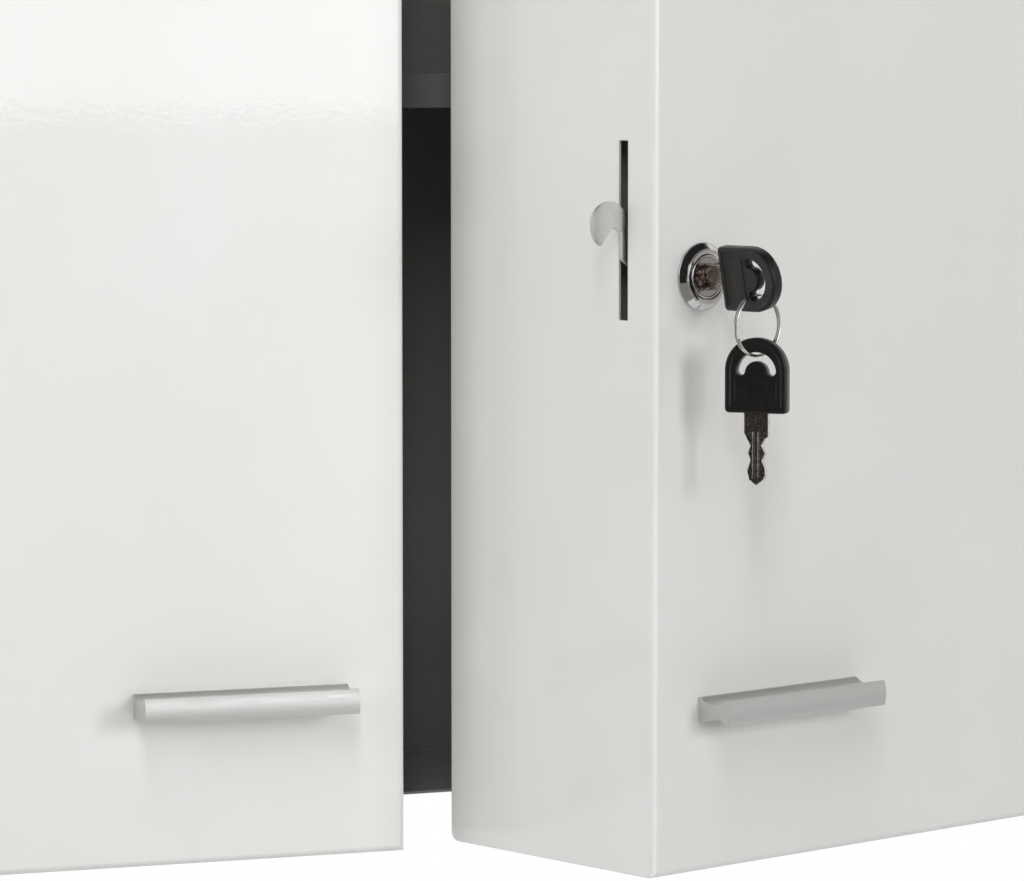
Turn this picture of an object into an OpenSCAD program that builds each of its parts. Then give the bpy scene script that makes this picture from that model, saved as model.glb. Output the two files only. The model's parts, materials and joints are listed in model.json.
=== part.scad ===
// Wall cabinet for medicine with two deep box doors, a hook lock and its keys.
// Millimetres. Z up, front faces -Y, origin at the centre of the wall holes on the back face.
// Each door is modelled closed on the right-hand side and then turned or mirrored into place.

/* [Cabinet] */
// Overall width
cab_w = 530; // [480:1:620]
// Overall height
cab_h = 530; // [500:1:620]
// Depth of the body that hangs on the wall
body_d = 98; // [85:1:140]
// Depth of each box door
door_d = 100; // [85:1:140]
// Gap between the body and the closed doors
seam = 2; // [1.5:0.1:4]
// Gap between the two closed doors
centre_gap = 2; // [1.5:0.1:3]
// Thickness of the steel sheet
sheet = 1; // [0.8:0.1:1.5]
// Outer radius of the folded edges
fold_r = 2; // [1.6:0.1:3]
// Radius of the rear corners of a door, seen from the side
rear_r = 3.5; // [2:0.1:6]
// Width of the flange turned in round the back of a door
door_flange = 12; // [8:0.5:18]

/* [Wall] */
// Distance between the wall holes, across
hole_pitch_x = 430; // [380:1:440]
// Distance between the wall holes, up and down
hole_pitch_z = 430; // [380:1:440]
// Diameter of the wall holes
hole_d = 7; // [5:0.5:9]
// Depth of the flange round the back panel
back_flange = 12; // [8:0.5:18]

/* [Body shelf] */
// Height of the shelf top above the bottom of the body
shelf_top = 261.8; // [200:0.1:320]
// Height of the lip turned down at the front of the shelf
shelf_lip = 12; // [8:0.5:18]
// Depth of the hem turned back under the lip
shelf_hem = 6; // [4:0.5:10]
// Length of each leg of a shelf clip
clip_leg = 12; // [8:0.5:18]
// Width of a shelf clip, front to back
clip_w = 18; // [12:0.5:24]

/* [Door shelves] */
// Height of the lower tray above the bottom of the door
tray_low = 150; // [120:1:155]
// Height of the upper tray above the bottom of the door
tray_high = 325; // [280:1:380]
// Height of the rail that keeps the contents in
tray_rail = 28; // [15:1:45]
// Height of the ears that are welded to the door
tray_ear = 14; // [8:1:24]

/* [Opening] */
// Angle at which the right door stands open
right_open = 20.5; // [0:0.5:90]
// Angle at which the left door stands ajar
left_open = 1.7; // [0:0.1:20]

/* [Hinges] */
// Diameter of the hinge pin
pin_d = 2.6; // [2:0.1:3]
// Diameter of a hinge knuckle
knuckle_d = 5; // [4.6:0.1:6]
// Height of a hinge
hinge_h = 44; // [34:1:60]
// Width of a hinge leaf
leaf_w = 16; // [13:0.5:22]
// Thickness of a hinge leaf
leaf_t = 1.2; // [1:0.1:1.5]
// Distance of each hinge from the top or bottom of the cabinet
hinge_inset = 70; // [50:1:110]

/* [Handles] */
// Length of a handle
handle_l = 74; // [70:1:110]
// Distance from the end of a handle to the free side of its door
handle_side = 20.5; // [14:0.5:40]
// Height of the handle's middle above the bottom of the door
handle_z = 54; // [35:1:90]
// How far a handle stands out
handle_d = 15; // [12:0.5:20]
// Height of the handle at its back and front
handle_h = 8.3; // [7:0.1:12]
// Thickness of the handle's waist
handle_waist = 3.8; // [3.5:0.1:5]
// Distance between the two screws of a handle
screw_pitch = 64; // [40:1:64]

/* [Lock] */
// Distance of the lock's axis from the free side of the right door
lock_side = 21.4; // [20:0.1:30]
// Height of the lock's axis above the bottom of the door
lock_z = 196.6; // [190:0.1:260]
// Diameter of the bezel on the door
bezel_d = 22.2; // [21:0.1:26]
// Diameter of the front ring of the bezel
ring_face_d = 17.6; // [17:0.1:20]
// How far the bezel stands out from the door
bezel_h = 3; // [2:0.1:5]
// Diameter of the threaded barrel
barrel_d = 18; // [17.5:0.1:20]
// Diameter of the plug
plug_d = 14.4; // [13.5:0.1:15]
// Distance from the door's front to the front of the hook
hook_back = 14; // [13:0.1:16]
// Thickness of the hook
hook_t = 1.5; // [1:0.1:2]
// Width of the slots that the hook passes through
slot_w = 4.3; // [3.5:0.1:5]
// Extra width of the left door's slot, so that the hook enters while that door stands ajar
strike_play = 8.2; // [8:0.1:9]
// Diameter of the hook's round head
head_d = 15.2; // [14:0.1:16]

/* [Key] */
// Width of the key's bow
bow_w = 21.3; // [20:0.1:24]
// Length of the key's bow
bow_l = 24.5; // [23:0.1:28]
// Thickness of the key's bow
bow_t = 4; // [3:0.1:4.2]
// Radius of the hole in the bow
bow_hole_r = 6.8; // [6.6:0.1:7]
// Thickness of the key's blade
blade_t = 1.8; // [1.4:0.1:2]
// Distance from the door's front to the bow of the key in the lock
key_out = 10.6; // [10.5:0.1:12]
// Angle at which the key in the lock is turned
key_turn = 11; // [0:1:11]
// Mean diameter of the split ring
ring_d = 19.75; // [19:0.05:24]
// Thickness of the split ring's wire
wire_d = 0.95; // [0.8:0.05:1]
// Angle between the spare key and the split ring
spare_turn = 65; // [60:1:80]

/* [Hidden] */

$fn = 64;
over = 1;            // how far a cutting shape passes a face
fit = 0.05;          // radial clearance of a running fit
slip = 0.3;          // clearance between pieces that lie side by side

half_w = cab_w / 2;
half_h = cab_h / 2;
door_front = -(body_d + seam + door_d);
door_back = door_front + door_d;
free_x = centre_gap / 2;
in_w = half_w - sheet;
in_h = half_h - sheet;

knuckle_r = knuckle_d / 2;
hinge_x = half_w + knuckle_r + slip;
hinge_y = -(body_d + seam / 2);
hinge_zs = [half_h - hinge_inset, hinge_inset - half_h];
leaf_reach = knuckle_r + slip;
knuckle_h = hinge_h / 3;
pin_head_d = knuckle_d - 1;
pin_head_h = 0.8;
rivet_r = 1.5;
rivet_head_r = 2.6;
rivet_head_h = 1;
rivet_tail_h = rivet_head_h / 2;
dome_r = (pow(rivet_head_r, 2) + pow(rivet_head_h, 2)) / (2 * rivet_head_h);
rivet_in = leaf_reach + (leaf_w - leaf_reach) / 2;
rivet_z = hinge_h / 3.4;

handle_mid = door_front - handle_d * 0.46;   // depth at which the handle is thinnest
waist_chord = handle_d * 0.38;               // half the depth of its hollows
handle_front_r = handle_d * 0.7;
screw_r = 1.25;
screw_depth = handle_d * 0.55;
screw_head_h = 1.6;

bumper_x = 5;
bumper_z = 9;
bumper_d = 6.4;
bumper_h = seam - slip;
bumper_edge = 0.8;
stem_d = 2.6;

lock_x = free_x + lock_side;
lock_zz = lock_z - half_h;
hook_y = door_front + hook_back;
plug_front = door_front - bezel_h + 0.4;
barrel_flat = barrel_d - 1.5;
barrel_end = hook_y - slip;
bezel_edge = 0.5;
key_slot_w = 6.6;
key_slot_h = blade_t + slip;
key_slot_end = hook_y - 0.7;
nut_t = 4;
nut_af = 22;
stud_d = 7;
stud_af = 6;
cam_nut_t = 3.6;
cam_nut_af = 10;
tail_end = hook_y + hook_t + cam_nut_t + 0.6;
slot_low = -14.2;
slot_high = 44.4;
strike_low = 13.4;
hook_reach = 32.8;
hook_rise = 31.3;
head_x = -hook_reach * cos(hook_rise);
head_z = hook_reach * sin(hook_rise);
hub_r = 9.5;
slot_end_r = 0.4;
notch_x = -(lock_side + 1.2);                // the notch begins just outside the door
notch_top = [notch_x, head_z - 2.5];
notch_apex = [head_x + 1.1, head_z - 0.6];
hook_lip = [head_x - 3.5, head_z - 6.3];
notch_mouth = hook_lip + [-3, -4];
notch_foot = [notch_x - 12, 0];
arm_top = [head_x + 3.2, head_z + head_d / 2 - 0.7];
arm_low = [-6, -7.3];
arm_high = [-2, 9.2];
arm_wall_z = 5.9;
cover_gap = 3;
cover_top = 49;
cover_bottom = -19;
cover_w = 68;
strike_w = 24;
cover_back = tail_end + cover_gap;
strike_back = hook_y + hook_t + strike_play + cover_gap;

bow_mid = bow_l - bow_w / 2;
hole_mid = bow_mid - 0.9;
hole_base = hole_mid - 0.05;
bump_r = 3.9;
bump_mid = hole_mid;
base_corner = 1.4;
bow_edge = 0.4;
panel_w = 14.4;
panel_l = 6.6;
panel_y = 4.1;
panel_deep = 0.3;
shoulder_w = 8.2;
shoulder_l = 7.5;
tang_l = 3;
cuts = [                                     // the blade's outline below its shoulders
    [-shoulder_w / 2, -shoulder_l + 1], [-1.9, -10.6], [-2.7, -12.9], [-1.9, -15.3],
    [-3, -18.8], [-2.3, -21.6], [0, -23.4], [2.3, -21.6], [3.1, -20], [3.1, -18],
    [1.9, -15.3], [3, -12.9], [1.7, -10.4], [2.9, -8.2], [shoulder_w / 2, -shoulder_l]
];
groove_w = 0.7;
groove_x = 0.9;
groove_deep = 0.35;
groove_low = -21;
groove_high = -6;
ring_r = ring_d / 2;
coil_step = 0.9;
coil_half = (coil_step + wire_d) / 2;
ring_w = hole_base + slip + coil_half;
gap_outer = sqrt(pow(bow_hole_r, 2) - pow(ring_w + coil_half - hole_mid, 2));
gap_inner = sqrt(pow(bump_r, 2) - pow(ring_w - coil_half - bump_mid, 2));
wire_at = (gap_outer + gap_inner) / 2;
ring_x0 = wire_at * sin(key_turn);
ring_z0 = -wire_at * cos(key_turn) - ring_r;
ring_y = door_front - key_out - ring_w;
hang = 0.75;
spare_z = -ring_r + wire_d / 2 + hang - hole_mid - bow_hole_r;

clip_ys = [-body_d * 0.8, -body_d * 0.28];
shelf_z = shelf_top - half_h;
shelf_half = in_w - sheet - slip;
tray_floor = door_d * 0.86;
tray_r = fold_r - sheet / 2;
tray_slot_r = 3;

white = "#e9e9e6";
dark_grey = "#4a4847";
zinc = "#c3c5c6";
aluminium = "#c9c9c7";
chrome = "#b9b9bb";
black = "#1f1e1e";
nickel = "#6e6663";

// Placing

module turned_right() {
    translate([hinge_x, hinge_y, 0])
        rotate([0, 0, right_open])
            translate([-hinge_x, -hinge_y, 0])
                children();
}

module turned_left() {
    mirror([1, 0, 0])
        translate([hinge_x, hinge_y, 0])
            rotate([0, 0, left_open])
                translate([-hinge_x, -hinge_y, 0])
                    children();
}

// The right door's frame, moved so that the lock's axis is its origin.
module at_lock() {
    turned_right()
        translate([lock_x, 0, lock_zz])
            children();
}

// Extrudes an outline drawn in X and Z from y0 back to y1.
module along_y(y0, y1) {
    translate([0, y1, 0])
        rotate([90, 0, 0])
            linear_extrude(y1 - y0)
                children();
}

// Extrudes an outline drawn in Y and Z from x0 to x1.
module along_x(x0, x1) {
    translate([x0, 0, 0])
        rotate([90, 0, 90])
            linear_extrude(x1 - x0)
                children();
}

// A rectangle with its own radius at each corner: lower left, lower right, upper right, upper left.
module rounded_rect(x0, y0, x1, y1, r) {
    corners = [[x0, y0, 1, 1], [x1, y0, -1, 1], [x1, y1, -1, -1], [x0, y1, 1, -1]];
    difference() {
        translate([x0, y0])
            square([x1 - x0, y1 - y0]);
        for (i = [0:3])
            if (r[i] > 0)
                difference() {
                    translate([corners[i][0] + corners[i][2] * (r[i] - over) / 2,
                               corners[i][1] + corners[i][3] * (r[i] - over) / 2])
                        square(r[i] + over, center = true);
                    translate([corners[i][0] + corners[i][2] * r[i],
                               corners[i][1] + corners[i][3] * r[i]])
                        circle(r[i]);
                }
    }
}

module box_between(a, b) {
    translate(a)
        cube(b - a);
}

// Body

module body_tube(x, z, r, y0, y1) {
    along_y(y0, y1)
        rounded_rect(-x, -z, x, z, [r, r, r, r]);
}

module body_shell() {
    color(dark_grey)
        difference() {
            body_tube(half_w, half_h, fold_r, -body_d, 0);
            body_tube(in_w, in_h, fold_r - sheet, -body_d - over, over);
            body_rivet_holes();
        }
}

module back_panel() {
    w = in_w - fit;
    h = in_h - fit;
    r = fold_r - sheet;
    color(dark_grey)
        difference() {
            body_tube(w, h, r, -back_flange, 0);
            body_tube(w - sheet, h - sheet, 0, -back_flange - over, -sheet);
            for (x = [-1, 1], z = [-1, 1])
                translate([x * hole_pitch_x / 2, over, z * hole_pitch_z / 2])
                    rotate([90, 0, 0])
                        cylinder(d = hole_d, h = sheet + 2 * over);
        }
}

module shelf_profile() {
    translate([-body_d, shelf_z - sheet])
        square([body_d - sheet - slip, sheet]);
    translate([-body_d, shelf_z - shelf_lip])
        square([sheet, shelf_lip]);
    translate([-body_d, shelf_z - shelf_lip])
        square([shelf_hem, sheet]);
    translate([-2 * sheet - slip, shelf_z - shelf_lip])
        square([sheet, shelf_lip]);
}

module body_shelf() {
    color(dark_grey)
        along_x(-shelf_half, shelf_half)
            shelf_profile();
}

// An angle whose long leg lies on the side wall and whose short leg carries the shelf.
module shelf_clips() {
    top = shelf_z - sheet;
    color(zinc)
        for (side = [0, 1], y = clip_ys)
            mirror([side, 0, 0]) {
                box_between([in_w - sheet, y - clip_w / 2, top - clip_leg],
                            [in_w, y + clip_w / 2, top]);
                box_between([in_w - clip_leg, y - clip_w / 2, top - sheet],
                            [in_w, y + clip_w / 2, top]);
            }
}

// Hinges, drawn for the right-hand side

module knuckle(z0, h, clear) {
    difference() {
        translate([hinge_x, hinge_y, z0])
            cylinder(r = knuckle_r, h = h);
        translate([hinge_x, hinge_y, z0 - over])
            cylinder(d = pin_d + 2 * clear, h = h + 2 * over);
    }
}

module body_leaf(zc) {
    end = knuckle_h - slip / 2;
    difference() {
        union() {
            for (z = [zc - hinge_h / 2, zc + hinge_h / 2 - end])
                knuckle(z, end, fit / 2);
            difference() {
                box_between([half_w, hinge_y, zc - hinge_h / 2],
                            [half_w + leaf_t, hinge_y + leaf_w, zc + hinge_h / 2]);
                box_between([half_w - over, hinge_y - over, zc - knuckle_h / 2 - slip],
                            [half_w + leaf_t + over, hinge_y + leaf_reach, zc + knuckle_h / 2 + slip]);
            }
        }
        translate([hinge_x, hinge_y, zc - hinge_h / 2 - over])
            cylinder(d = pin_d + fit, h = hinge_h + 2 * over);
        rivet_pair(zc, hinge_y + rivet_in, rivet_r + fit);
    }
}

module door_leaf(zc) {
    mid = knuckle_h - slip;
    difference() {
        union() {
            knuckle(zc - mid / 2, mid, fit);
            difference() {
                box_between([half_w, hinge_y - leaf_w, zc - hinge_h / 2],
                            [half_w + leaf_t, hinge_y, zc + hinge_h / 2]);
                for (end = [-1, 1])
                    translate([half_w - over, hinge_y - leaf_reach, zc + end * hinge_h / 2])
                        translate([0, 0, -(hinge_h - mid) / 2])
                            cube([leaf_t + 2 * over, leaf_reach + over, hinge_h - mid]);
            }
        }
        translate([hinge_x, hinge_y, zc - hinge_h / 2 - over])
            cylinder(d = pin_d + 2 * fit, h = hinge_h + 2 * over);
        rivet_pair(zc, hinge_y - rivet_in, rivet_r + fit);
    }
}

module rivet_pair(zc, y, r) {
    for (z = [-rivet_z, rivet_z])
        translate([half_w - sheet - over, y, zc + z])
            rotate([0, 90, 0])
                cylinder(r = r, h = sheet + leaf_t + 2 * over);
}

// Domed outer head, shank through leaf and sheet, flat head inside.
module rivet() {
    rotate_extrude()
        union() {
            difference() {
                translate([0, leaf_t + rivet_head_h - dome_r])
                    circle(dome_r);
                translate([-2 * dome_r, -2 * dome_r])
                    square([2 * dome_r, 4 * dome_r]);
                translate([-over, -2 * dome_r])
                    square([2 * dome_r, 2 * dome_r + leaf_t]);
            }
            translate([0, -sheet])
                square([rivet_r, sheet + leaf_t]);
            translate([0, -sheet - rivet_tail_h])
                square([rivet_head_r, rivet_tail_h]);
        }
}

module rivets(y) {
    for (zc = hinge_zs, z = [-rivet_z, rivet_z])
        translate([half_w, y, zc + z])
            rotate([0, 90, 0])
                rivet();
}

module body_rivet_holes() {
    for (side = [0, 1], zc = hinge_zs)
        mirror([side, 0, 0])
            rivet_pair(zc, hinge_y + rivet_in, rivet_r + fit);
}

module hinge_pin(zc) {
    translate([hinge_x, hinge_y, zc - hinge_h / 2 - slip])
        cylinder(d = pin_d, h = hinge_h + 2 * slip);
    for (z = [zc - hinge_h / 2 - slip - pin_head_h, zc + hinge_h / 2 + slip])
        translate([hinge_x, hinge_y, z])
            cylinder(d = pin_head_d, h = pin_head_h);
}

module left_body_leaves() {
    color(zinc)
        mirror([1, 0, 0])
            for (zc = hinge_zs)
                body_leaf(zc);
}

module right_body_leaves() {
    color(zinc)
        for (zc = hinge_zs)
            body_leaf(zc);
}

module left_hinge_pins() {
    color(zinc)
        mirror([1, 0, 0])
            for (zc = hinge_zs)
                hinge_pin(zc);
}

module right_hinge_pins() {
    color(zinc)
        for (zc = hinge_zs)
            hinge_pin(zc);
}

module body_hinge_rivets() {
    color(zinc)
        for (side = [0, 1])
            mirror([side, 0, 0])
                rivets(hinge_y + rivet_in);
}

// Doors, drawn closed on the right-hand side

// The door's block, inset by i on every side: folded front edges and rounded rear corners.
module door_block(i) {
    front = max(fold_r - i, 0.2);
    rear = max(rear_r - i, 0.2);
    intersection() {
        translate([0, 0, -half_h + i])
            linear_extrude(cab_h - 2 * i)
                rounded_rect(free_x + i, door_front + i, half_w - i, door_back - i,
                             [front, front, 0, 0]);
        along_x(free_x + i, half_w - i)
            rounded_rect(door_front + i, -half_h + i, door_back - i, half_h - i,
                         [front, rear, rear, front]);
    }
}

module hook_slot(low, high, play) {
    r = slot_end_r;
    along_x(free_x - over, free_x + sheet + over)
        rounded_rect(hook_y + (hook_t - slot_w) / 2, lock_zz + low,
                     hook_y + (hook_t + slot_w) / 2 + play, lock_zz + high, [r, r, r, r]);
}

module handle_holes(r, y0, y1) {
    for (x = [-1, 1])
        translate([free_x + handle_side + handle_l / 2 + x * screw_pitch / 2, y1,
                   handle_z - half_h])
            rotate([90, 0, 0])
                cylinder(r = r, h = y1 - y0);
}

module bumper_places() {
    for (z = [bumper_z - half_h, half_h - bumper_z])
        translate([free_x + bumper_x, door_back, z])
            children();
}

module door_shell(low, high, play) {
    difference() {
        door_block(0);
        door_block(sheet);
        box_between([free_x + door_flange, door_back - sheet - over, -half_h + door_flange],
                    [half_w - door_flange, door_back + over, half_h - door_flange]);
        hook_slot(low, high, play);
        handle_holes(screw_r + 0.25, door_front - over, door_front + sheet + over);
        for (zc = hinge_zs)
            rivet_pair(zc, hinge_y - rivet_in, rivet_r + fit);
        bumper_places()
            translate([0, over, 0])
                rotate([90, 0, 0])
                    cylinder(d = stem_d + 2 * fit, h = sheet + 2 * over);
    }
}

module left_door_shell() {
    color(white)
        turned_left()
            door_shell(strike_low, slot_high, strike_play);
}

module barrel_section(clear) {
    intersection() {
        circle(d = barrel_d + 2 * clear);
        square([barrel_d + 2 * over, barrel_flat + 2 * clear], center = true);
    }
}

module right_door_shell() {
    color(white)
        turned_right()
            difference() {
                door_shell(slot_low, slot_high, 0);
                translate([lock_x, 0, lock_zz])
                    along_y(door_front - over, door_front + sheet + over)
                        barrel_section(2 * fit);
            }
}

// A tray: floor, back strip on the door's front, ears on its sides and the rail.
module tray(height) {
    z = height - half_h;
    x0 = free_x + sheet + fit;
    x1 = half_w - sheet - fit;
    y0 = door_front + sheet + fit;
    y1 = y0 + tray_floor;
    difference() {
        translate([0, 0, z - sheet])
            linear_extrude(sheet + tray_rail)
                rounded_rect(x0, y0, x1, y1, [tray_r, tray_r, 0, 0]);
        box_between([x0 + sheet, y0 + sheet, z], [x1 - sheet, y1 - sheet, z + tray_rail + over]);
        box_between([x0 - over, y0 - over, z + tray_ear], [x1 + over, y1 - sheet, z + tray_rail + over]);
        along_y(y1 - sheet - over, y1 + over)
            rounded_rect(x0 + 3 * tray_ear, z + tray_ear / 2, x1 - 3 * tray_ear,
                         z + tray_rail - tray_ear / 2,
                         [tray_slot_r, tray_slot_r, tray_slot_r, tray_slot_r]);
    }
}

module trays() {
    for (height = [tray_low, tray_high])
        tray(height);
}

module left_door_shelves() {
    color(dark_grey)
        turned_left()
            trays();
}

module right_door_shelves() {
    color(dark_grey)
        turned_right()
            trays();
}

// A five-sided cover on the inside of the door, open to the door's front and free side.
module inner_cover(width, back) {
    x0 = free_x + sheet + fit;
    y0 = door_front + sheet + fit;
    difference() {
        translate([0, 0, lock_zz + cover_bottom])
            linear_extrude(cover_top - cover_bottom)
                rounded_rect(x0, y0, x0 + width, back, [tray_r, 0, 0, 0]);
        box_between([x0 - over, y0 - over, lock_zz + cover_bottom + sheet],
                    [x0 + width - sheet, back - sheet, lock_zz + cover_top - sheet]);
    }
}

module left_strike_cover() {
    color(dark_grey)
        turned_left()
            inner_cover(strike_w, strike_back);
}

module right_lock_cover() {
    color(dark_grey)
        turned_right()
            inner_cover(cover_w, cover_back);
}

// Handle section: hollow above and below, with a gently rounded front.
module handle_profile() {
    z = handle_z - half_h;
    sag = (handle_h - handle_waist) / 2;
    r = (pow(waist_chord, 2) + pow(sag, 2)) / (2 * sag);
    difference() {
        intersection() {
            translate([door_front - handle_d, z - handle_h / 2])
                square([handle_d, handle_h]);
            translate([door_front - handle_d + handle_front_r, z])
                union() {
                    circle(handle_front_r);
                    translate([0, -handle_h])
                        square([handle_d, 2 * handle_h]);
                }
        }
        for (side = [-1, 1])
            translate([handle_mid, z + side * (handle_waist / 2 + r)])
                circle(r);
    }
}

module handle() {
    difference() {
        along_x(free_x + handle_side, free_x + handle_side + handle_l)
            handle_profile();
        handle_holes(screw_r + fit, door_front - screw_depth - over, door_front + over);
    }
}

module handle_screw_set() {
    handle_holes(screw_r, door_front - screw_depth, door_front + sheet);
    handle_holes(2 * screw_r, door_front + sheet, door_front + sheet + screw_head_h);
}

module left_handle() {
    color(aluminium)
        turned_left()
            handle();
}

module right_handle() {
    color(aluminium)
        turned_right()
            handle();
}

module left_handle_screws() {
    color(zinc)
        turned_left()
            handle_screw_set();
}

module right_handle_screws() {
    color(zinc)
        turned_right()
            handle_screw_set();
}

// Rubber bumper with a rounded edge and a stem through the flange.
module bumper() {
    edge = bumper_edge;
    rotate([-90, 0, 0])
        rotate_extrude()
            union() {
                square([bumper_d / 2, bumper_h - edge]);
                translate([0, bumper_h - edge])
                    square([bumper_d / 2 - edge, edge]);
                intersection() {
                    translate([bumper_d / 2 - edge, bumper_h - edge])
                        circle(edge);
                    square([bumper_d, bumper_h]);
                }
                translate([0, -sheet - edge])
                    square([stem_d / 2, sheet + edge]);
            }
}

module left_bumpers() {
    color(black)
        turned_left()
            bumper_places()
                bumper();
}

module right_bumpers() {
    color(black)
        turned_right()
            bumper_places()
                bumper();
}

module left_door_leaves() {
    color(zinc)
        turned_left()
            for (zc = hinge_zs)
                door_leaf(zc);
}

module right_door_leaves() {
    color(zinc)
        turned_right()
            for (zc = hinge_zs)
                door_leaf(zc);
}

module left_door_rivets() {
    color(zinc)
        turned_left()
            rivets(hinge_y - rivet_in);
}

module right_door_rivets() {
    color(zinc)
        turned_right()
            rivets(hinge_y - rivet_in);
}

// Lock

// Bezel: a low rim on the door, a cone, and a bevelled front ring round the plug.
module bezel() {
    rotate_extrude()
        polygon([
            [0, 0], [bezel_d / 2, 0], [bezel_d / 2, bezel_edge],
            [ring_face_d / 2 + bezel_edge, bezel_h - bezel_edge], [ring_face_d / 2, bezel_h],
            [plug_d / 2 + fit + bezel_edge, bezel_h], [plug_d / 2 + fit, bezel_h - bezel_edge],
            [0, bezel_h - bezel_edge]
        ]);
}

// The bezel with the threaded barrel, which has two flats.
module lock_barrel() {
    color(chrome)
        at_lock()
            difference() {
                union() {
                    translate([0, door_front, 0])
                        rotate([90, 0, 0])
                            bezel();
                    along_y(door_front, barrel_end)
                        barrel_section(0);
                }
                translate([0, barrel_end + over, 0])
                    rotate([90, 0, 0])
                        cylinder(d = plug_d + 2 * fit, h = barrel_end - door_front + bezel_h + 2 * over);
            }
}

module lock_nut() {
    color(zinc)
        at_lock()
            difference() {
                along_y(door_front + sheet, door_front + sheet + nut_t)
                    circle(d = nut_af / cos(30), $fn = 6);
                translate([0, door_front + sheet + nut_t + over, 0])
                    rotate([90, 0, 0])
                        cylinder(d = barrel_d + 2 * fit, h = nut_t + 2 * over);
            }
}

// The plug with its key slot and the flatted stud that carries the hook.
module lock_plug() {
    color(chrome)
        at_lock()
            difference() {
                union() {
                    translate([0, hook_y, 0])
                        rotate([90, 0, 0])
                            cylinder(d = plug_d, h = hook_y - plug_front);
                    along_y(hook_y, tail_end)
                        intersection() {
                            circle(d = stud_d);
                            square([stud_d, stud_af], center = true);
                        }
                }
                rotate([0, -key_turn, 0])
                    box_between([-key_slot_h / 2, plug_front - over, -key_slot_w / 2],
                                [key_slot_h / 2, key_slot_end, key_slot_w / 2]);
            }
}

// The hook, with the lock's axis as origin: hub, arm, round head and the open notch.
module hook_cam() {
    y1 = hook_y + hook_t;
    color(zinc)
        at_lock()
            difference() {
                union() {
                    translate([0, y1, 0])
                        rotate([90, 0, 0])
                            cylinder(r = hub_r, h = hook_t);
                    translate([head_x, y1, head_z])
                        rotate([90, 0, 0])
                            cylinder(d = head_d, h = hook_t);
                    along_y(hook_y, y1)
                        polygon([arm_low, [notch_x, arm_wall_z], notch_apex, arm_top, arm_high]);
                }
                along_y(hook_y - over, y1 + over)
                    polygon([notch_top, notch_apex, hook_lip, notch_mouth, notch_foot,
                             [notch_x, 0]]);
                along_y(hook_y - over, y1 + over)
                    intersection() {
                        circle(d = stud_d + 2 * fit);
                        square([stud_d + over, stud_af + 2 * fit], center = true);
                    }
            }
}

// The nut that holds the hook on the stud.
module cam_nut() {
    y0 = hook_y + hook_t;
    color(zinc)
        at_lock()
            difference() {
                along_y(y0, y0 + cam_nut_t)
                    circle(d = cam_nut_af / cos(30), $fn = 6);
                translate([0, y0 + cam_nut_t + over, 0])
                    rotate([90, 0, 0])
                        cylinder(d = stud_d + 2 * fit, h = cam_nut_t + 2 * over);
            }
}

// Keys. The outline lies in X and Y: the bow points up from y = 0, the blade down.

module bow_outline(i) {
    w = bow_w / 2 - i;
    r = base_corner - i;
    rounded_rect(-w, i, w, bow_mid, [r, r, 0, 0]);
    intersection() {
        translate([0, bow_mid])
            circle(w);
        translate([-w, bow_mid - fit])
            square([2 * w, w + over]);
    }
}

// Half-round hole with a round nose standing up in its middle.
module bow_hole() {
    difference() {
        intersection() {
            translate([0, hole_mid])
                circle(bow_hole_r);
            translate([-bow_hole_r, hole_base])
                square(2 * bow_hole_r);
        }
        translate([0, bump_mid])
            circle(bump_r);
    }
}

// The bow: stepped edge, hole, a sunk panel on each face and the pocket for the blade.
module key_bow_shape() {
    edge = bow_edge;
    difference() {
        union() {
            translate([0, 0, -bow_t / 2 + edge])
                linear_extrude(bow_t - 2 * edge)
                    bow_outline(0);
            translate([0, 0, -bow_t / 2])
                linear_extrude(bow_t)
                    bow_outline(edge);
        }
        translate([0, 0, -bow_t])
            linear_extrude(2 * bow_t)
                bow_hole();
        for (side = [-1, 1])
            translate([-panel_w / 2, panel_y, side * bow_t / 2 - panel_deep])
                cube([panel_w, panel_l, 2 * panel_deep]);
        translate([-shoulder_w / 2 - fit, -over, -blade_t / 2 - fit])
            cube([shoulder_w + 2 * fit, tang_l + over, blade_t + 2 * fit]);
    }
}

// The blade: tang, shoulders and cuts, with two grooves along each face.
module key_blade_shape() {
    tang = [[shoulder_w / 2, tang_l], [-shoulder_w / 2, tang_l]];
    difference() {
        translate([0, 0, -blade_t / 2])
            linear_extrude(blade_t)
                polygon(concat(cuts, tang));
        for (side = [-1, 1], x = [-groove_x, groove_x])
            translate([x - groove_w / 2, groove_low, side * blade_t / 2 - groove_deep])
                cube([groove_w, groove_high - groove_low, 2 * groove_deep]);
    }
}

// The key in the lock: bow outwards along -Y, turned with the plug.
module in_lock() {
    at_lock()
        translate([0, door_front - key_out, 0])
            rotate([0, -key_turn, 0])
                rotate([0, 90, 0])
                    rotate([0, 0, 180])
                        children();
}

// The spare key: bow up, hanging on the bottom of the split ring.
module on_ring() {
    at_lock()
        translate([ring_x0, ring_y, ring_z0 + spare_z])
            rotate([0, 0, -spare_turn])
                rotate([90, 0, 0])
                    children();
}

module key_blade() {
    color(nickel)
        in_lock()
            key_blade_shape();
}

module key_bow() {
    color(black)
        in_lock()
            key_bow_shape();
}

module spare_key_blade() {
    color(nickel)
        on_ring()
            key_blade_shape();
}

module spare_key_bow() {
    color(black)
        on_ring()
            key_bow_shape();
}

// Two joined coils of wire, side by side.
module split_ring() {
    color(zinc)
        at_lock()
            translate([ring_x0, ring_y, ring_z0])
                rotate([90, 0, 0])
                    rotate_extrude($fn = 96)
                        for (side = [-1, 1])
                            translate([ring_r, side * coil_step / 2])
                                circle(d = wire_d, $fn = 24);
}

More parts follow.
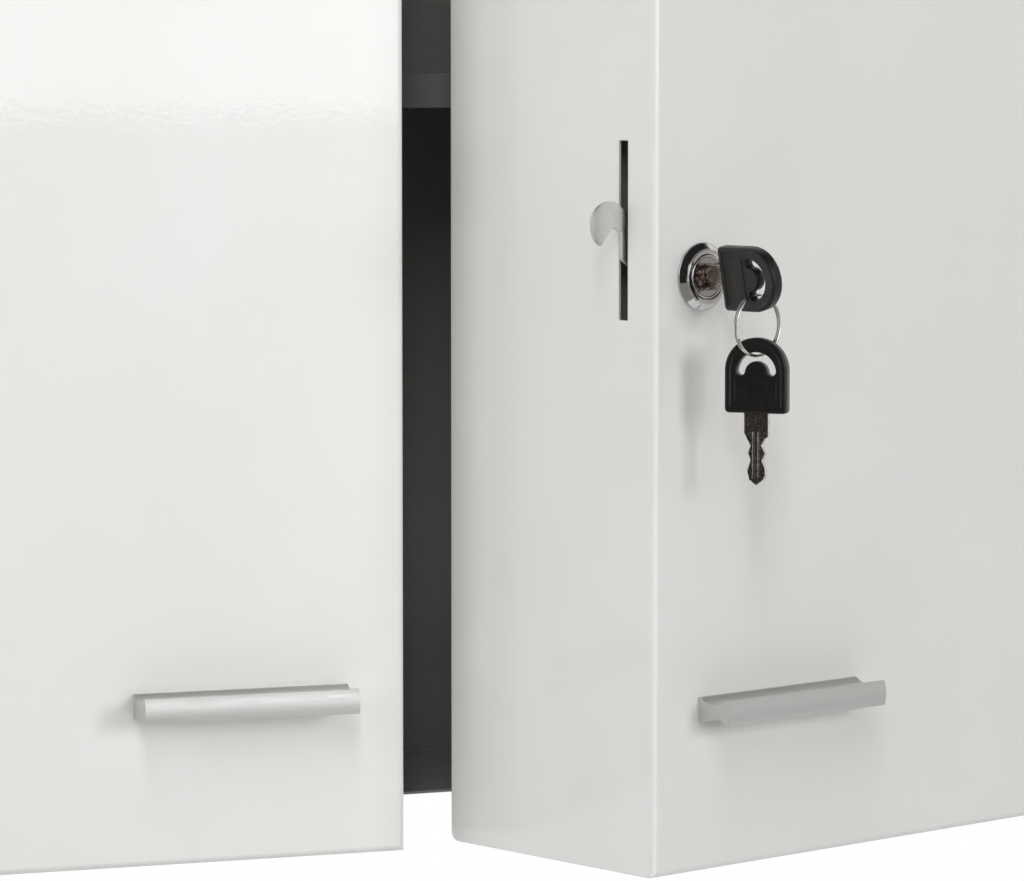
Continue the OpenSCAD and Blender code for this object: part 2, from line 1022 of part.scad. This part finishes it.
body_shell();
back_panel();
body_shelf();
shelf_clips();
left_body_leaves();
right_body_leaves();
left_hinge_pins();
right_hinge_pins();
body_hinge_rivets();
left_door_shell();
left_door_shelves();
left_strike_cover();
left_handle();
left_handle_screws();
left_bumpers();
left_door_leaves();
left_door_rivets();
right_door_shell();
right_door_shelves();
right_lock_cover();
right_handle();
right_handle_screws();
right_bumpers();
right_door_leaves();
right_door_rivets();
lock_barrel();
lock_nut();
lock_plug();
hook_cam();
cam_nut();
key_blade();
key_bow();
split_ring();
spare_key_blade();
spare_key_bow();
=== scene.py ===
import json
import math

import bmesh
import bpy
from mathutils import Matrix, Vector


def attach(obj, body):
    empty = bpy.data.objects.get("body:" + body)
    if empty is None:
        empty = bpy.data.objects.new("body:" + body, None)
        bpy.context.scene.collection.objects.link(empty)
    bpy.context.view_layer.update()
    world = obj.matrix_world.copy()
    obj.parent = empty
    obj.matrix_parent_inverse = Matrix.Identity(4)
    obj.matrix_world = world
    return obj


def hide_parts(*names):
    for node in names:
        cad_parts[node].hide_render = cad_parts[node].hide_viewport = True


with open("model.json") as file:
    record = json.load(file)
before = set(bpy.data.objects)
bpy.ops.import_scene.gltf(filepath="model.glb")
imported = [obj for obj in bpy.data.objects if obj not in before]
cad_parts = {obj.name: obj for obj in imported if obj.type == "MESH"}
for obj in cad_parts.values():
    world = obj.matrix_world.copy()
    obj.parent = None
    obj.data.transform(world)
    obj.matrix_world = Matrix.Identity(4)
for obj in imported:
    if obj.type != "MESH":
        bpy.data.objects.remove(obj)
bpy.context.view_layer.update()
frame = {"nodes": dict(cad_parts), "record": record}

MM = 0.001

# Lengths are in mm and angles in degrees, as in the part's source.

# The doors at rest. The lock's own frame has its origin on the lock's axis, in the right
# door as it stands closed; the door then turns about its hinge.
HINGE = (267.8, -99.0)
RIGHT_OPEN = 20.5
LEFT_OPEN = 1.7
DOOR_FRONT = -200.0
LOCK_X = 22.4
LOCK_Z = -68.4

# Key and spare key.
KEY_TURN = 11.0
KEY_OUT = 10.6
SPARE_TURN = 65.0
SPARE_Z = -28.4

# Split ring: its centre in the lock's frame, its mean radius and its wire.
RING_X = 0.988
RING_Y = -224.725
RING_Z = -14.96
RING_R = 9.875
WIRE_D = 0.95
WIRE_SLACK = 0.02
RING_TURNS = 2
RING_STEPS = 96
RING_OPEN_STEPS = 3
RING_START = 205.0
RING_PITCH = 0.9
CROSS_FROM = 0.86

# Plug and bezel.
PLUG_D = 14.4
PLUG_FRONT = -202.6
BAND_H = 8.7
SEGMENT_INSET = 0.75
PLUG_BEAD_INSET = 0.35
PLUG_BEAD_D = 0.5
PLUG_BEAD_OUT = 0.1
BEZEL_D = 22.2
BEZEL_H = 3.0
BEZEL_FACE_D = 17.6
RIM_D = 0.42
FOOT_RIM_INSET = 0.12
FOOT_RIM_OUT = 0.5
FACE_RIM_GROW = 0.2
FACE_RIM_IN = 0.3

# Key bow, in its own frame: the base lies on y = 0 and the blade points to -y.
BOW_W = 21.3
BOW_T = 4.0
BOW_MID = 13.85
BOW_CORNER = 1.4
BOW_CORNER_MIN = 0.25
BOW_SUNK = 0.28
HOLE_R = 6.8
HOLE_MID = 12.95
HOLE_END = 8.0
NOSE_R = 3.9
PANEL_W = 14.4
PANEL_L = 6.6
PANEL_Y = 4.1
PANEL_R = 1.1

SMOOTH_ANGLE = 38.0

# Camera: place, heading to the right of straight in, tilt, and focal length in pixels.
CAMERA_AT = (-522.0, -1624.3, 2.8)
CAMERA_YAW = 21.461
CAMERA_PITCH = -4.862
FOCAL_PX = 4500.0
FRAME_W = 1024.0
SENSOR = 36.0
CLIP_M = (0.05, 50.0)

# Studio, in metres and watts.
AIM = (0.0, -0.15, -0.05)
FRONT_POWER = 7.6
RIGHT_POWER = 19.5
LEFT_POWER = 34.0
GAP_POWER = 23.5
TOP_POWER = 22.0
REAR_POWER = 32.0
FILL = 0.13
FLOOR_AT = (0.0, -1.0, -1.3)
FLOOR_HALF = 4.0
FLOOR_GREY = 0.82


def right_door(x, y, z):
    """A point of the closed right door, in mm, as a vector in metres at rest."""
    a = math.radians(RIGHT_OPEN)
    dx = x - HINGE[0]
    dy = y - HINGE[1]
    px = HINGE[0] + math.cos(a) * dx - math.sin(a) * dy
    py = HINGE[1] + math.sin(a) * dx + math.cos(a) * dy
    return Vector((px, py, z)) * MM


def lock_frame():
    """Matrix from the lock's own frame, in mm, to the part's frame, in metres."""
    origin = right_door(LOCK_X, 0.0, LOCK_Z)
    turn = Matrix.Rotation(math.radians(RIGHT_OPEN), 4, "Z")
    return Matrix.Translation(origin) @ turn @ Matrix.Scale(MM, 4)


# Materials

EVEN = (1.0, 1.0, 1.0)
LEVEL = (0.0, 0.0, 0.0)
# The middle part of a noise, where nearly all of its values lie.
NOISE_SPAN = (0.3, 0.7)
# The colour sockets of a mix node, which share their names with those of other types.
MIX_A = 6
MIX_B = 7
MIX_RESULT = 2


class Graph:
    """A short way to add and join the nodes of one material."""

    def __init__(self, name):
        self.material = bpy.data.materials.new(name)
        self.material.use_nodes = True
        self.tree = self.material.node_tree
        self.shader = self.tree.nodes["Principled BSDF"]
        self.coord = self.tree.nodes.new("ShaderNodeTexCoord")

    def put(self, socket, value):
        self.shader.inputs[socket].default_value = value

    def add(self, kind, **values):
        """A new node. Each value goes to the input of that name, or else to the setting."""
        made = self.tree.nodes.new(kind)
        for key, value in values.items():
            if key in made.inputs:
                made.inputs[key].default_value = value
            else:
                setattr(made, key, value)
        return made

    def join(self, a, output, b, socket):
        self.tree.links.new(a.outputs[output], b.inputs[socket])

    def noise(self, size_mm, detail=3.0, rough=0.5, scale=EVEN, turn=LEVEL):
        """Noise in the piece's own space, with grains of about the given size."""
        mapping = self.add("ShaderNodeMapping", Scale=scale, Rotation=turn)
        self.join(self.coord, "Object", mapping, "Vector")
        noise = self.add("ShaderNodeTexNoise", Scale=1.0 / (size_mm * MM), Detail=detail,
                         Roughness=rough)
        self.join(mapping, "Vector", noise, "Vector")
        return noise

    def ramp(self, source, a, b, span=NOISE_SPAN):
        """Maps a span of the source's factor to the values from a to b."""
        ramp = self.add("ShaderNodeMapRange")
        ramp.inputs["From Min"].default_value = span[0]
        ramp.inputs["From Max"].default_value = span[1]
        ramp.inputs["To Min"].default_value = a
        ramp.inputs["To Max"].default_value = b
        self.join(source, "Fac", ramp, "Value")
        return ramp

    def colour(self, source, output, dark, light):
        """Base colour from dark to light along the source."""
        mix = self.add("ShaderNodeMix", data_type="RGBA")
        mix.inputs[MIX_A].default_value = (*dark, 1.0)
        mix.inputs[MIX_B].default_value = (*light, 1.0)
        self.join(source, output, mix, 0)
        self.tree.links.new(mix.outputs[MIX_RESULT], self.shader.inputs["Base Color"])

    def edge(self, radius_mm):
        """Rounds the shading of sharp edges."""
        edge = self.add("ShaderNodeBevel", samples=6, Radius=radius_mm * MM)
        self.join(edge, "Normal", self.shader, "Normal")
        return edge

    def bump(self, source, depth_mm, strength, below=None):
        """Raises the surface along a noise, on top of the normal from below."""
        bump = self.add("ShaderNodeBump", Strength=strength, Distance=depth_mm * MM)
        self.join(source, "Fac", bump, "Height")
        if below is not None:
            self.join(below, "Normal", bump, "Normal")
        self.join(bump, "Normal", self.shader, "Normal")
        return bump


def white_powder_coat():
    """Glossy white. The orange peel wobbles the edge of the softbox that it mirrors."""
    g = Graph("white_powder_coat")
    g.put("Roughness", 0.3)
    g.put("Coat Weight", 1.0)
    g.put("Coat Roughness", 0.01)
    tone = g.ramp(g.noise(60.0, 2.0), 0.0, 1.0)
    g.colour(tone, "Result", (0.775, 0.775, 0.755), (0.80, 0.80, 0.785))
    peel = g.bump(g.noise(1.6, 1.5), 0.025, 0.5, g.edge(0.35))
    g.join(peel, "Normal", g.shader, "Coat Normal")
    return g.material


def dark_powder_coat():
    """Satin dark grey with a fine grain."""
    g = Graph("dark_powder_coat")
    grain = g.noise(0.45, 4.0, 0.6)
    g.colour(grain, "Fac", (0.225, 0.214, 0.208), (0.290, 0.277, 0.270))
    g.join(g.ramp(g.noise(18.0), 0.36, 0.48), "Result", g.shader, "Roughness")
    g.bump(grain, 0.05, 0.5, g.edge(0.3))
    return g.material


def metal(name, dark, light, rough, size_mm, depth_mm, scale=EVEN, turn=0.0, spread=0.06):
    """A metal whose tone, roughness and height follow one noise along its finish."""
    g = Graph(name)
    g.put("Metallic", 1.0)
    grain = g.noise(size_mm, 3.0, 0.55, scale, (0.0, 0.0, turn))
    g.colour(grain, "Fac", dark, light)
    g.join(g.ramp(grain, rough - spread, rough + spread), "Result", g.shader, "Roughness")
    g.bump(grain, depth_mm, 0.4, g.edge(0.15))
    return g.material


def satin_aluminium(name, dark, light, rough, turn):
    """Aluminium brushed along a handle, whose door stands open by the given angle."""
    along = (0.03, 1.0, 1.0)
    return metal(name, dark, light, rough, 0.5, 0.01, along, math.radians(turn))


def plug_chrome():
    """Brownish chrome with shallow dents over a fine grain. Its tone follows the dents: dark
    brown in them and pale on their tops, where the pale stands for glints as painted
    highlights.
    """
    g = Graph("plug_chrome")
    g.put("Metallic", 1.0)
    g.put("Roughness", 0.22)
    dents = g.noise(1.5, 3.0, 0.6)
    # Tone from the dents' height: the pale tops are painted glints, and the dents are dark
    # brown.
    tone = g.ramp(dents, 0.0, 1.0, (0.45, 0.62))
    g.colour(tone, "Result", (0.085, 0.066, 0.058), (0.62, 0.55, 0.515))
    low = g.bump(dents, 0.4, 0.8, g.edge(0.15))
    g.bump(g.noise(0.25, 2.0), 0.01, 0.4, low)
    return g.material


def key_plastic():
    """Moulded black plastic with a slight sheen and a fine grain."""
    g = Graph("key_plastic")
    g.colour(g.noise(4.0), "Fac", (0.0065, 0.0057, 0.0053), (0.014, 0.0125, 0.012))
    g.join(g.ramp(g.noise(2.2, 4.0), 0.26, 0.42), "Result", g.shader, "Roughness")
    g.bump(g.noise(0.3, 3.0, 0.6), 0.02, 0.45)
    return g.material


def bumper_rubber():
    """Matt black rubber."""
    g = Graph("bumper_rubber")
    grain = g.noise(0.3)
    g.colour(grain, "Fac", (0.035, 0.035, 0.035), (0.06, 0.06, 0.06))
    g.put("Roughness", 0.7)
    g.bump(grain, 0.03, 0.6)
    return g.material


def make_materials():
    """The record's slots, and two finishes that vary a slot from piece to piece; one of them is
    a darker copy of the satin aluminium, painted shade on the right handle.
    """
    return {
        "white_powder_coat": white_powder_coat(),
        "dark_powder_coat": dark_powder_coat(),
        "zinc_plate": metal("zinc_plate", (0.64, 0.64, 0.63), (0.84, 0.84, 0.83),
                            rough=0.36, size_mm=2.2, depth_mm=0.012),
        "satin_aluminium": satin_aluminium(
            "satin_aluminium", (0.80, 0.80, 0.79), (0.90, 0.90, 0.89), 0.56, LEFT_OPEN),
        # A darker copy of the satin aluminium for the right handle: painted shade.
        "satin_aluminium_painted_shade": satin_aluminium(
            "satin_aluminium_painted_shade", (0.70, 0.70, 0.69), (0.80, 0.80, 0.79), 0.48, -RIGHT_OPEN),
        "bright_chrome": metal("bright_chrome", (0.66, 0.655, 0.65), (0.76, 0.755, 0.75),
                               rough=0.07, size_mm=2.5, depth_mm=0.004, spread=0.03),
        "plug_chrome": plug_chrome(),
        "plug_polish": metal("plug_polish", (0.46, 0.43, 0.415), (0.58, 0.55, 0.53),
                             rough=0.16, size_mm=0.9, depth_mm=0.006),
        "ring_wire": metal("ring_wire", (0.66, 0.64, 0.62), (0.86, 0.85, 0.83),
                           rough=0.10, size_mm=0.8, depth_mm=0.006),
        "dark_nickel": metal("dark_nickel", (0.24, 0.20, 0.185), (0.88, 0.79, 0.74),
                             rough=0.27, size_mm=0.7, depth_mm=0.06),
        "key_plastic": key_plastic(),
        "bumper_rubber": bumper_rubber(),
    }


materials = make_materials()


def dress_nodes():
    """Gives each CAD node the material of its slot."""
    for row in frame["record"]["subparts"]:
        piece = frame["nodes"][row["node"]]
        look = row["material_slot"]
        # The right handle takes the darker copy of the satin aluminium, as painted shade.
        if row["node"] == "right_handle":
            look = "satin_aluminium_painted_shade"
        piece.data.materials.clear()
        piece.data.materials.append(materials[look])




# Pieces made here


def new_object(name, bm):
    """Turns a finished bmesh into a linked object."""
    mesh = bpy.data.meshes.new(name)
    bm.to_mesh(mesh)
    bm.free()
    made = bpy.data.objects.new(name, mesh)
    bpy.context.scene.collection.objects.link(made)
    return made


def new_piece(name, bm, look, body, replaced=()):
    """Moves a mesh from the lock's frame to its place, as a piece that rides on a body."""
    bmesh.ops.transform(bm, matrix=lock_frame(), verts=bm.verts)
    bmesh.ops.recalc_face_normals(bm, faces=bm.faces)
    piece = new_object(name, bm)
    piece.data.shade_smooth()
    piece.data.set_sharp_from_angle(angle=math.radians(SMOOTH_ANGLE))
    piece.data.materials.append(materials[look])
    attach(piece, body)
    if replaced:
        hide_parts(*replaced)


def add_ring(bm, points):
    return [bm.verts.new(point) for point in points]


def bridge(bm, a, b):
    """A band of faces between two closed rings with the same number of points."""
    count = len(a)
    for k in range(count):
        j = (k + 1) % count
        bm.faces.new((a[k], a[j], b[j], b[k]))


def loft(bm, rings, capped=False):
    """Bands of faces through a row of closed rings, with flat ends where capped."""
    made = [add_ring(bm, ring) for ring in rings]
    for a, b in zip(made, made[1:]):
        bridge(bm, a, b)
    if capped:
        bm.faces.new(made[0])
        bm.faces.new(made[-1])
    return made


def fill(bm, *rings):
    """Closes a flat face whose outline and holes are the given rings."""
    edges = []
    for ring in rings:
        for k, vert in enumerate(ring):
            edges.append(bm.edges.get((vert, ring[(k + 1) % len(ring)])))
    bmesh.ops.triangle_fill(bm, use_beauty=True, use_dissolve=False, edges=edges)


def arc(cx, cy, r, start, end, steps):
    """Points along an arc, ends included."""
    points = []
    for i in range(steps + 1):
        a = math.radians(start + (end - start) * i / steps)
        points.append((cx + r * math.cos(a), cy + r * math.sin(a)))
    return points


def at_height(flat, z):
    return [(x, y, z) for x, y in flat]


def lathe(bm, profile, steps=96):
    """Turns a closed profile of (radius, depth) points about the Y axis."""
    rings = []
    for k in range(steps):
        a = 2.0 * math.pi * k / steps
        around = [(r * math.cos(a), y, r * math.sin(a)) for r, y in profile]
        rings.append(add_ring(bm, around))
    for k in range(steps):
        bridge(bm, rings[k], rings[(k + 1) % steps])


def bead(radius, y, thick, sides=10):
    """Profile of a round bead for lathe."""
    return arc(radius, y, thick / 2, 0.0, 360.0 * (sides - 1) / sides, sides - 1)


def tube(points, radius, sides=12):
    """A tube along a list of points, with flat ends."""
    bm = bmesh.new()
    rings = []
    last = len(points) - 1
    for i, point in enumerate(points):
        ahead = points[min(i + 1, last)] - points[max(i - 1, 0)]
        tangent = ahead.normalized()
        side = tangent.cross(Vector((0.0, 1.0, 0.0))).normalized()
        up = side.cross(tangent)
        ring = []
        for k in range(sides):
            a = 2.0 * math.pi * k / sides
            ring.append(point + (side * math.cos(a) + up * math.sin(a)) * radius)
        rings.append(ring)
    loft(bm, rings, capped=True)
    return bm


def make_split_ring():
    """One wire wound twice, stepping across in the last stretch of its first turn."""
    points = []
    for i in range(RING_TURNS * RING_STEPS - RING_OPEN_STEPS):
        t = i / RING_STEPS
        part = t % 1.0
        across = float(math.floor(t))
        if part > CROSS_FROM and t < 1.0:
            x = (part - CROSS_FROM) / (1.0 - CROSS_FROM)
            across += x * x * (3.0 - 2.0 * x)
        a = 2.0 * math.pi * t + math.radians(RING_START)
        points.append(Vector((
            RING_X + RING_R * math.cos(a),
            RING_Y + (across - 0.5) * RING_PITCH,
            RING_Z + RING_R * math.sin(a),
        )))
    bm = tube(points, WIRE_D / 2 - WIRE_SLACK)
    new_piece("ring_wire_coil", bm, "ring_wire", "ring", ["split_ring"])


def bow_outline(inset):
    """The bow's outline: flat base with small corners, straight sides, round top."""
    w = BOW_W / 2 - inset
    r = max(BOW_CORNER - inset, BOW_CORNER_MIN)
    flat = arc(-w + r, inset + r, r, 180.0, 270.0, 6)
    flat += arc(w - r, inset + r, r, 270.0, 360.0, 6)
    flat += arc(0.0, BOW_MID, w, 0.0, 180.0, 48)
    return flat


def bow_hole(grow):
    """The bow's hole: a half ring over the round nose, with round ends."""
    middle = (HOLE_R + NOSE_R) / 2
    end = (HOLE_R - NOSE_R) / 2 + grow
    cx = middle * math.cos(math.radians(HOLE_END))
    cy = HOLE_MID + middle * math.sin(math.radians(HOLE_END))
    flat = arc(0.0, HOLE_MID, HOLE_R + grow, HOLE_END, 180.0 - HOLE_END, 36)
    flat += arc(-cx, cy, end, 180.0 - HOLE_END, 360.0 - HOLE_END, 12)[1:-1]
    flat += arc(0.0, HOLE_MID, NOSE_R - grow, 180.0 - HOLE_END, HOLE_END, 24)
    flat += arc(cx, cy, end, 180.0 + HOLE_END, 360.0 + HOLE_END, 12)[1:-1]
    return flat


def bow_panel(inset):
    """The bare raised panel, with round corners."""
    across = PANEL_W / 2 - inset - PANEL_R
    along = PANEL_L / 2 - inset - PANEL_R
    middle = PANEL_Y + PANEL_L / 2
    flat = []
    for sx, sy, start in ((1, 1, 0.0), (-1, 1, 90.0), (-1, -1, 180.0), (1, -1, 270.0)):
        flat += arc(sx * across, middle + sy * along, PANEL_R, start, start + 90.0, 5)
    return flat


def both_faces(shape, steps):
    """Rings of one wall of the bow, from its lower face to its upper one."""
    lower = [at_height(shape(inset), -z) for inset, z in reversed(steps)]
    return lower + [at_height(shape(inset), z) for inset, z in steps]


def make_key_bow(name, place, body, replaced):
    """A moulded bow: rolled edges, a rim round both faces, a soft hole, a raised panel."""
    bm = bmesh.new()
    top = BOW_T / 2
    field = top - BOW_SUNK
    # Each step is (distance in from the edge, height).
    rim = [(0.0, top - 0.75), (0.05, top - 0.5), (0.2, top - 0.24), (0.45, top - 0.07),
           (0.75, top), (1.65, top), (1.85, top - 0.06), (2.05, field + 0.04), (2.2, field)]
    lip = [(0.0, top - 0.95), (0.06, top - 0.7), (0.2, field - 0.12), (0.4, field - 0.02),
           (0.55, field)]
    panel = [(0.0, field - 0.1), (0.0, field + 0.08), (0.12, field + 0.17), (0.35, field + 0.2)]
    outside = loft(bm, both_faces(bow_outline, rim))
    inside = loft(bm, both_faces(bow_hole, lip))
    fill(bm, outside[0], inside[0])
    fill(bm, outside[-1], inside[-1])
    for side in (-1.0, 1.0):
        loft(bm, [at_height(bow_panel(inset), side * z) for inset, z in panel], capped=True)
    bmesh.ops.transform(bm, matrix=place, verts=bm.verts)
    new_piece(name, bm, "key_plastic", body, [replaced])


def key_place():
    """The bow of the key in the lock, in the lock's frame."""
    upright = Matrix.Rotation(math.pi, 4, "Z")
    turn = Matrix.Rotation(math.radians(90.0 - KEY_TURN), 4, "Y")
    return Matrix.Translation((0.0, DOOR_FRONT - KEY_OUT, 0.0)) @ turn @ upright


def spare_place():
    """The bow of the hanging key, in the lock's frame."""
    upright = Matrix.Rotation(math.pi / 2, 4, "X")
    turn = Matrix.Rotation(math.radians(-SPARE_TURN), 4, "Z")
    return Matrix.Translation((RING_X, RING_Y, RING_Z + SPARE_Z)) @ turn @ upright


def make_plug_face():
    """Two polished segments that leave the recessed band open, and a bead round them."""
    radius = PLUG_D / 2 - SEGMENT_INSET
    # Each step is (distance in from the edge, height over the plug's face).
    steps = [(0.0, -0.1), (0.0, 0.16), (0.07, 0.24), (0.2, 0.26)]
    for sign, name in ((1.0, "plug_segment_upper"), (-1.0, "plug_segment_lower")):
        bm = bmesh.new()
        rings = []
        for inset, out in steps:
            r = radius - inset
            a = math.degrees(math.asin((BAND_H / 2 + inset) / r))
            flat = arc(0.0, 0.0, r, a, 180.0 - a, 32)
            rings.append([(x, PLUG_FRONT - out, sign * z) for x, z in flat])
        loft(bm, rings, capped=True)
        new_piece(name, bm, "plug_polish", "lock")
    bm = bmesh.new()
    lathe(bm, bead(PLUG_D / 2 - PLUG_BEAD_INSET, PLUG_FRONT - PLUG_BEAD_OUT, PLUG_BEAD_D))
    new_piece("plug_bead", bm, "bright_chrome", "lock")


def make_bezel_rims():
    """Rolled bright edges at the foot of the bezel and round its front ring."""
    bm = bmesh.new()
    lathe(bm, bead(BEZEL_D / 2 - FOOT_RIM_INSET, DOOR_FRONT - FOOT_RIM_OUT, RIM_D))
    face = DOOR_FRONT - BEZEL_H + FACE_RIM_IN
    lathe(bm, bead(BEZEL_FACE_D / 2 + FACE_RIM_GROW, face, RIM_D))
    new_piece("bezel_rims", bm, "bright_chrome", "right_door")


def make_pieces():
    make_split_ring()
    make_key_bow("key_bow_moulded", key_place(), "key", "key_bow")
    make_key_bow("spare_key_bow_moulded", spare_place(), "spare_key", "spare_key_bow")
    make_plug_face()
    make_bezel_rims()


# Camera and studio


def make_camera():
    data = bpy.data.cameras.new("camera")
    data.sensor_width = SENSOR
    data.lens = FOCAL_PX / FRAME_W * SENSOR
    data.clip_start, data.clip_end = CLIP_M
    camera = bpy.data.objects.new("camera", data)
    camera.location = Vector(CAMERA_AT) * MM
    tilt = math.radians(90.0 + CAMERA_PITCH)
    camera.rotation_euler = (tilt, 0.0, math.radians(-CAMERA_YAW))
    bpy.context.scene.collection.objects.link(camera)
    bpy.context.scene.camera = camera


def toward(azimuth, elevation):
    """Unit vector. Azimuth 0 is in front of the cabinet and 90 on its right."""
    a = math.radians(azimuth)
    e = math.radians(elevation)
    return Vector((math.sin(a) * math.cos(e), -math.cos(a) * math.cos(e), math.sin(e)))


def softbox(name, azimuth, elevation, distance, size, power, mirrored=False):
    """An area light that faces the cabinet. Reflections see it only where mirrored is set."""
    out = toward(azimuth, elevation)
    data = bpy.data.lights.new(name, "AREA")
    data.shape = "RECTANGLE"
    data.size, data.size_y = size
    data.energy = power
    light = bpy.data.objects.new(name, data)
    light.location = Vector(AIM) + out * distance
    light.rotation_euler = (-out).to_track_quat("-Z", "Y").to_euler()
    light.visible_glossy = mirrored
    bpy.context.scene.collection.objects.link(light)


def card(name, azimuth, elevation, distance, size, tone):
    """A studio card that only reflections see, as chrome shows the dark parts of a room."""
    out = toward(azimuth, elevation)
    bm = bmesh.new()
    bmesh.ops.create_grid(bm, x_segments=1, y_segments=1, size=0.5)
    board = new_object(name, bm)
    board.location = Vector(AIM) + out * distance
    board.rotation_euler = out.to_track_quat("Z", "Y").to_euler()
    board.scale = (*size, 1.0)
    material = bpy.data.materials.new(name)
    material.use_nodes = True
    tree = material.node_tree
    tree.nodes.clear()
    surface = tree.nodes.new("ShaderNodeOutputMaterial")
    glow = tree.nodes.new("ShaderNodeEmission")
    glow.inputs["Color"].default_value = (*tone, 1.0)
    tree.links.new(glow.outputs["Emission"], surface.inputs["Surface"])
    board.data.materials.append(material)
    board.visible_camera = False
    board.visible_diffuse = False
    board.visible_transmission = False
    board.visible_shadow = False


def make_lights():
    """Softboxes and cards, each with azimuth, elevation, distance and size."""
    softbox("front_box", 14.0, 12.0, 2.6, (1.0, 1.1), FRONT_POWER, mirrored=True)
    softbox("right_box", 34.0, 10.0, 2.6, (0.6, 0.8), RIGHT_POWER)
    softbox("left_box", -71.0, 14.0, 2.8, (2.2, 2.2), LEFT_POWER)
    softbox("gap_box", -21.0, 45.0, 2.6, (0.3, 2.2), GAP_POWER)
    softbox("top_box", 0.0, 89.0, 2.6, (2.4, 2.4), TOP_POWER)
    softbox("rear_box", 160.0, 35.0, 2.8, (2.0, 2.0), REAR_POWER)
    card("ceiling_card", 0.0, 88.0, 1.9, (5.0, 5.0), (0.02, 0.02, 0.02))
    card("left_card", -56.0, 10.0, 3.2, (4.2, 7.0), (0.02, 0.019, 0.018))
    card("left_floor_card", -60.0, -51.0, 1.1, (2.6, 1.25), (0.24, 0.235, 0.21))
    card("right_card", 66.0, 0.0, 3.2, (2.2, 4.0), (0.42, 0.40, 0.39))


def make_world():
    """White to the camera, in reflections and through glass, and a pale fill elsewhere."""
    world = bpy.data.worlds.new("studio")
    bpy.context.scene.world = world
    world.use_nodes = True
    tree = world.node_tree
    tree.nodes.clear()
    out = tree.nodes.new("ShaderNodeOutputWorld")
    mix = tree.nodes.new("ShaderNodeMixShader")
    seen = tree.nodes.new("ShaderNodeBackground")
    fill_light = tree.nodes.new("ShaderNodeBackground")
    path = tree.nodes.new("ShaderNodeLightPath")
    seen.inputs["Color"].default_value = (1.0, 1.0, 1.0, 1.0)
    seen.inputs["Strength"].default_value = 1.0
    fill_light.inputs["Color"].default_value = (1.0, 0.995, 0.985, 1.0)
    fill_light.inputs["Strength"].default_value = FILL
    first = tree.nodes.new("ShaderNodeMath")
    first.operation = "MAXIMUM"
    white = tree.nodes.new("ShaderNodeMath")
    white.operation = "MAXIMUM"
    tree.links.new(path.outputs["Is Camera Ray"], first.inputs[0])
    tree.links.new(path.outputs["Is Glossy Ray"], first.inputs[1])
    tree.links.new(first.outputs[0], white.inputs[0])
    tree.links.new(path.outputs["Is Transmission Ray"], white.inputs[1])
    tree.links.new(white.outputs[0], mix.inputs[0])
    tree.links.new(fill_light.outputs[0], mix.inputs[1])
    tree.links.new(seen.outputs[0], mix.inputs[2])
    tree.links.new(mix.outputs[0], out.inputs["Surface"])


def make_floor():
    """A pale floor well below the hanging cabinet."""
    bm = bmesh.new()
    bmesh.ops.create_grid(bm, x_segments=2, y_segments=2, size=FLOOR_HALF)
    floor = new_object("floor", bm)
    floor.location = FLOOR_AT
    g = Graph("floor")
    g.put("Base Color", (FLOOR_GREY, FLOOR_GREY, FLOOR_GREY, 1.0))
    g.put("Roughness", 0.8)
    floor.data.materials.append(g.material)


make_camera()
make_world()
make_lights()
make_floor()
dress_nodes()
make_pieces()

bpy.context.scene.view_settings.view_transform = "Standard"
